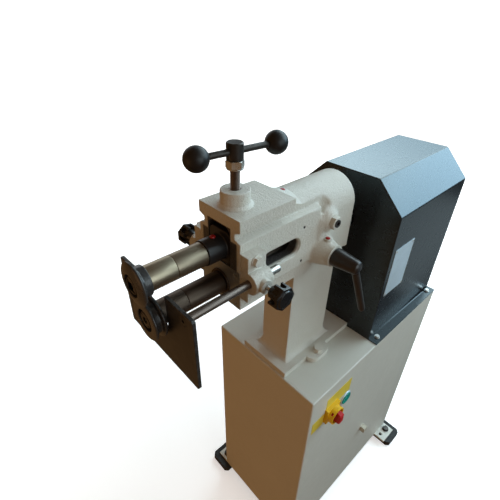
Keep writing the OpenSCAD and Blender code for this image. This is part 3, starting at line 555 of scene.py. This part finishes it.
# ------------------------------------------------------- cover and drive
def outer_cover(e):
    (x0, y0, z0), (x1, y1, z1) = (v.co / MM for v in e.verts)
    corners = ((133, 352), (68, 417))
    along = abs(x0 - x1) < 0.3 and abs(z0 - z1) < 0.3 and any(abs(abs(x0) - c[0]) < 0.3 and abs(z0 - ZT - c[1]) < 0.3 for c in corners)
    rim = (at(e, 1, -38) or at(e, 1, 287)) and not (abs(z0 - ZT) < 6 and abs(z1 - ZT) < 6)
    hole = max(abs(x0), abs(x1)) < 61 and max(z0, z1) - ZT < 345
    return along or (rim and not hole)


soft_copy("drive_cover", "cover_paint", 2.2, 4, outer_cover)
soft_copy("cover_screws", "zinc_steel", 0.5, 2)
soft_copy("data_plate", "alu", 0.2, 1)
soft_copy("data_plate_rivets", "zinc_steel", 0.3, 2)
soft_copy("gearbox", "gearbox_alu", 2.0, 3)
soft_copy("gearbox_stand", "cover_paint", 0.8, 2)
soft_copy("motor", "motor_paint", 0.6, 2)
soft_copy("motor_fan_cover", "fan_plastic", 0.8, 2)
soft_copy("motor_fan", "fan_plastic", 0.5, 2)
soft_copy("output_shaft", "ground_steel", 0.5, 2)


# -------------------------------------------------------------- controls
soft_copy("switch_base", "yellow_plastic", 1.2, 3)
soft_copy("switch_handle", "red_plastic", 1.6, 3)
lathe("button_bezel_look", "alu", "frame", [(rounded([(18.4, -30), (20, -30), (20, 2), (18.9, 3.2), (17.6, 3.2), (17.6, -27), (0, -27), (0, -30), (18.4, -30)], 0.5)[:-1], (157, -142, ZT - 112), (1, 0, 0), False)], ["button_bezel"])
lathe("start_button_look", "green_plastic", "button", [(rounded([(0, -14), (17.2, -14), (17.2, 4.6), (15.2, 4.6), (10, 3.9), (0, 3.6)], 0.9, 4), (157, -142, ZT - 112), (1, 0, 0), False)], ["start_button"])


# ------------------------------------------------------------ upper shaft
cast_copy("upper_rocker", "rocker_black", 0.9, 4, 0.5)
soft_copy("upper_bushes", "bronze", 0.4, 2)
soft_copy("rocker_oil_plug", "oil_red", 0.5, 3)
soft_copy("upper_shaft", "ground_steel", 0.5, 2)
soft_copy("lower_shaft", "ground_steel", 0.5, 2)
soft_copy("upper_gear", "ground_steel", 0.5, 1)
soft_copy("lower_gear", "ground_steel", 0.5, 1)
soft_copy("lower_quill", "dark_spacer_steel", 0.5, 2)
soft_copy("lower_bushes", "bronze", 0.4, 2)


def sleeve(y0, y1, z, r=20.0, bore=12.05):
    n = y1 - y0
    return (rounded([(bore, 0.1), (r, 0.1), (r, n - 0.1), (bore, n - 0.1)], 0.9, 4, True), (0, y0, z), (0, 1, 0), True)


lathe("upper_spacers_look", "spacer_steel", "upper_roll", [sleeve(-535, -491, UP_Z)], ["upper_spacers"], 128)
# The rear sleeve takes the darker copy of the spacer steel as painted shade.
lathe("upper_spacers_rear_look", "spacer_steel_painted_shade", "upper_roll", [sleeve(-491, -436.5, UP_Z)], (), 128)
lathe("lower_spacers_look", "dark_spacer_steel", "lower_roll", [sleeve(-528, -478, LO_Z), sleeve(-478, -404.5, LO_Z)], ["lower_spacers"], 128)

upper_profile = [(12, 8), (17, 8), (18, 7), (18, 0.8), (18.8, 0), (21.5, 0), (31.4, 2.4), (34.2, 3.6), (35.4, 5.6), (34.2, 7.6), (31.4, 9), (25.5, 10), (24, 12), (24, 22.5), (23, 23.5), (12, 23.5)]
lower_profile = [(12, 8), (18.5, 8), (19.5, 7), (19.5, 0.8), (20.3, 0), (33.9, 0), (35.4, 1.5), (35.4, 3.4), (34.4, 4.4), (29, 5), (28, 6), (28, 13.5), (29, 14.5), (34.4, 15.1), (35.4, 16.1), (35.4, 19), (33.9, 20.5), (12, 20.5)]
lathe("upper_roller_look", "roller_black", "upper_roll", [(rounded(upper_profile, 1.6, 4, True), (0, -558.5, UP_Z), (0, 1, 0), True)], ["upper_roller"], 160)
lathe("lower_roller_look", "roller_black", "lower_roll", [(rounded(lower_profile, 0.9, 4, True), (0, -548.5, LO_Z), (0, 1, 0), True)], ["lower_roller"], 160)
soft_copy("upper_roller_nut", "black_oxide", 0.5, 2)
soft_copy("lower_roller_nut", "black_oxide", 0.5, 2)


# ------------------------------------------------------------ feed screw
def threaded(name, material, body, nodes, x, y, z0, z1, r, depth, pitch, turn=48, step=0.2):
    """A rod with a rolled right-hand thread, its crests at the full radius."""
    rows = int(round((z1 - z0) / step))
    bm = bmesh.new()
    grid = []
    for i in range(rows + 1):
        z = z0 + (z1 - z0) * i / rows
        ring = []
        for k in range(turn):
            a = 2 * math.pi * k / turn
            ph = (z / pitch - k / turn) % 1.0
            t = abs(ph - 0.5) * 2                      # 0 at the crest, 1 at the root
            d = min(max((t - 0.16) / 0.62, 0.0), 1.0)
            end = min(1.0, (z - z0) / 1.6, (z1 - z) / 1.6)
            rr = r - depth * d - (1 - max(end, 0.0)) * 1.1
            rr = min(rr, r)
            ring.append(bm.verts.new(Vector((x + rr * math.cos(a), y + rr * math.sin(a), z)) * MM))
        grid.append(ring)
    for p, q in zip(grid, grid[1:]):
        for k in range(turn):
            j = (k + 1) % turn
            bm.faces.new((p[k], p[j], q[j], q[k]))
    bm.faces.new(grid[0])
    bm.faces.new(grid[-1])
    return piece(name, from_bm(name, bm, 50.0), material, body, nodes)


threaded("feed_screw_look", "screw_steel", "screw", ["feed_screw"], 0, -366, ZT + 414, ZT + 521, 8.0, 1.15, 2.0)
soft_copy("pressure_pad", "bronze", 0.4, 2)
soft_copy("lock_washer", "zinc_steel", 0.4, 2)
soft_copy("lock_nut", "zinc_steel", 0.5, 2)
soft_copy("tee_hub", "black_oxide", 0.8, 3)

BAR = Vector((math.cos(math.radians(83)), math.sin(math.radians(83)), 0))
HUB = Vector((0, -366, ZT + 527))
MID = HUB + BAR * 7
lathe("tee_bar_look", "black_oxide", "tee", [(rounded([(0, -66), (5.15, -66), (5.15, 66), (0, 66)], 1.0, 3), MID, BAR, False)], ["tee_bar"], 64)


def ball(sign, r=19.0, bore=5.25):
    last = math.pi - math.asin(bore / r)
    pts = [(0, r)] + [(r * math.sin(last * k / 44), r * math.cos(last * k / 44)) for k in range(1, 45)]
    return (pts + [(bore, -5.0), (0, -5.0)], MID + BAR * (71 * sign), BAR * sign, False)


lathe("ball_knobs_look", "phenolic", "tee", [ball(1), ball(-1)], ["ball_knobs"], 72, 32.0)


# ----------------------------------------------------------------- gauge
soft_copy("gauge_plate", "plate_black", 0.7, 2)
lathe("gauge_rod_look", "rod_steel", "gauge", [(rounded([(4.0, 0), (7, 0), (7, 134), (4.0, 134), (4.0, 0)], 0.5, 3)[:-1], (71.2, -518, ZT + 339), (0, 1, 0), True)], ["gauge_rod"], 64)
lathe("gauge_rod_end", "ground_steel", "gauge", [(rounded([(0, 134.0), (7, 134.0), (7, 184), (5.5, 185.5), (0, 185.5)], 0.6, 3), (71.2, -518, ZT + 339), (0, 1, 0), False)], (), 64)
soft_copy("gauge_screw", "plate_black", 0.3, 2)


# ------------------------------------------------------ star knobs, lever
def star_knob(node, side, shift):
    """The moulded head of a clamp knob with softened lobes, and its steel stud as a piece of its own."""
    bm = bmesh.new()
    bm.from_mesh(NODES[node].data)
    bmesh.ops.remove_doubles(bm, verts=bm.verts[:], dist=2e-6)
    bmesh.ops.dissolve_limit(bm, angle_limit=math.radians(0.4), use_dissolve_boundaries=False, verts=bm.verts[:], edges=bm.edges[:])
    stud = [f for f in bm.faces if f.calc_center_median().x * side / MM < 96.95 + shift]
    bmesh.ops.delete(bm, geom=stud, context="FACES")
    sharp = [e for e in bm.edges if len(e.link_faces) == 2 and e.calc_face_angle(0.0) > math.radians(28)]
    bmesh.ops.bevel(bm, geom=sharp, offset=1.1 * MM, offset_type="OFFSET", segments=3, profile=0.5, affect="EDGES", clamp_overlap=True)
    name, body = node + "_look", body_of(node)
    ob = piece(name, from_bm(name, bm, 40.0), "knob_black", body, [node], weighted=True)
    n = 18.4 + shift
    lathe(name + "_stud", "zinc_steel", body, [(rounded([(0, 0), (4, 0), (4, n + 0.5), (0, n + 0.5)], 0.5, 2), (side * 78.6, -384, ZT + 339), (side, 0, 0), False)], (), 40)
    return ob


star_knob("right_clamp_knob", 1, 9.5)
star_knob("left_clamp_knob", -1, 1.0)
cast_copy("lever_handle", "lever_plastic", 0.7, 10, 0.6)
soft_copy("lever_shaft", "ground_steel", 0.4, 2)


# ------------------------------------------------- louvre hoods on the back
def louvres(name, material, y, z_slots, half, out=4.6, rise=6.5):
    """Pressed hoods over the slots, open downwards."""
    bm = bmesh.new()
    prof = [(0.0, rise + 3.4), (1.3, rise + 2.9), (2.6, rise + 1.2), (3.7, rise - 1.6), (4.4, rise - 4.6), (out, rise - 6.6)]
    xs = [-half - 4 + (2 * half + 8) * k / 40 for k in range(41)]
    for z in z_slots:
        layers = []
        for t in (0.0, 0.9):
            grid = []
            for x in xs:
                u = max(0.0, (abs(x) - (half - 5)) / 9.0)
                f = math.sqrt(max(0.0, 1 - u * u))
                grid.append([bm.verts.new(Vector((x, y + max(p * f - t * (1.0 if p > 0 else 0.0) * f, 0.0) + (0.02 if t == 0 else 0.0), z + q - (t * 0.7 if p > 0 else t))) * MM) for p, q in prof])
            layers.append(grid)
        a, b = layers
        for i in range(len(xs) - 1):
            for k in range(len(prof) - 1):
                bm.faces.new((a[i][k], a[i + 1][k], a[i + 1][k + 1], a[i][k + 1]))
                bm.faces.new((b[i][k], b[i][k + 1], b[i + 1][k + 1], b[i + 1][k]))
            bm.faces.new((a[i][-1], a[i + 1][-1], b[i + 1][-1], b[i][-1]))
            bm.faces.new((a[i][0], b[i][0], b[i + 1][0], a[i + 1][0]))
        for i in (0, -1):
            for k in range(len(prof) - 1):
                bm.faces.new((a[i][k], a[i][k + 1], b[i][k + 1], b[i][k]))
    return piece(name, from_bm(name, bm, 40.0), material, "frame", ())


louvres("rear_louvres", "sheet_paint", 288.5, [430 + 18 * i for i in range(7)], 70)
louvres("cover_louvres", "cover_paint", 287.0, [ZT + 90 + 22 * i for i in range(8)], 60)


# ------------------------------------------------------------ blank legend
def legend():
    """Plain yellow plates beside the main switch, left blank."""
    bm = bmesh.new()
    for y0, y1, z0, z1 in ((-228, -131, -75.5, -42), (-181.5, -131, -89, -75.5), (-275, -230.5, -130, -88)):
        add_box(bm, (157.0, y0, ZT + z0), (157.4, y1, ZT + z1))
    return piece("legend_plates", from_bm("legend_plates", bm), "legend_yellow", "frame", ())


legend()


# ------------------------------------------------------------ stage, light
def floor():
    """A plain pale sweep: flat around the machine, curving up far away."""
    g = Graph("floor")
    col = g.mix(g.ramp(g.noise(1.4, 4, 0.6), 0.3, 0.7), rgb(0.88, 0.88, 0.875), rgb(0.91, 0.91, 0.905))
    g.put(g.bsdf.inputs["Base Color"], col)
    g.bsdf.inputs["Roughness"].default_value = 0.75
    far = g.t.nodes.new("ShaderNodeVectorMath")
    far.operation = "LENGTH"
    g.t.links.new(g.coord, far.inputs[0])
    g.bsdf.inputs["Emission Color"].default_value = (1, 1, 1, 1)
    g.put(g.bsdf.inputs["Emission Strength"], g.ramp(far.outputs["Value"], 0.6, 3.2, 0.50, 1.0))
    bm = bmesh.new()
    profile = [(0, 0), (2000, 0), (9000, 0), (12000, 0)]
    profile += [(12000 + 6000 * math.sin(math.radians(a)), 6000 - 6000 * math.cos(math.radians(a))) for a in range(10, 91, 10)]
    add_lathe(bm, profile + [(18000, 14000)], (0, 0, 0), (0, 0, 1), 64)
    ob = bpy.data.objects.new("floor", from_bm("floor", bm, 60.0))
    ob.data.materials.append(g.mat)
    ob.visible_diffuse = ob.visible_glossy = ob.visible_shadow = False
    SCENE.collection.objects.link(ob)


def softbox(name, place, target, size, power, colour):
    data = bpy.data.lights.new(name, "AREA")
    data.shape = "RECTANGLE"
    data.size, data.size_y = size
    data.energy = power
    data.color = colour
    ob = bpy.data.objects.new(name, data)
    ob.visible_camera = False
    SCENE.collection.objects.link(ob)
    d = Vector(target) - Vector(place)
    ob.matrix_world = Matrix.Translation(place) @ d.to_track_quat("-Z", "Y").to_matrix().to_4x4()


floor()
DAY = (0.74, 0.93, 1.0)
softbox("window", (0.35, 2.5, 3.2), (0, -0.1, 1.0), (6.0, 2.1), 160, DAY)
softbox("side", (2.9, 0.0, 1.75), (0, -0.1, 0.85), (2.2, 2.0), 34, (0.78, 0.94, 1.0))
softbox("back_left", (-1.3, 3.0, 2.05), (0, 0, 1.0), (2.2, 1.2), 13, (0.56, 0.83, 1.0))
softbox("back_right", (1.2, 3.0, 2.05), (0, 0, 1.0), (2.0, 1.2), 41, (0.52, 0.80, 1.0))
softbox("floor_glow", (1.2, 1.9, 0.04), (1.2, 1.9, 2.0), (1.6, 1.6), 3, DAY)
softbox("left_fill", (-2.8, 0.6, 1.8), (0, -0.1, 0.9), (2.0, 2.0), 14, (0.9, 0.96, 1.0))
softbox("warm_fill", (-0.6, -2.8, 0.9), (0, -0.3, 0.8), (1.6, 1.6), 6, (1.0, 0.52, 0.22))


def surroundings():
    """A warm room in front of the machine and a cool dim one behind it."""
    world = bpy.data.worlds.new("world")
    SCENE.world = world
    world.use_nodes = True
    t = world.node_tree
    back = t.nodes["Background"]
    axes = t.nodes.new("ShaderNodeSeparateXYZ")
    t.links.new(t.nodes.new("ShaderNodeTexCoord").outputs["Generated"], axes.inputs[0])
    ramp = t.nodes.new("ShaderNodeMapRange")
    ramp.inputs["From Min"].default_value, ramp.inputs["From Max"].default_value = -0.15, 0.55
    t.links.new(axes.outputs["Y"], ramp.inputs["Value"])
    mix = t.nodes.new("ShaderNodeMix")
    mix.data_type = "RGBA"
    t.links.new(ramp.outputs[0], mix.inputs[0])
    mix.inputs[6].default_value = (1.0, 0.53, 0.21, 1.0)
    mix.inputs[7].default_value = (0.11, 0.14, 0.17, 1.0)
    t.links.new(mix.outputs[2], back.inputs[0])
    back.inputs[1].default_value = 0.20


surroundings()
SCENE.view_settings.view_transform = "Standard"
SCENE.view_settings.look = "None"
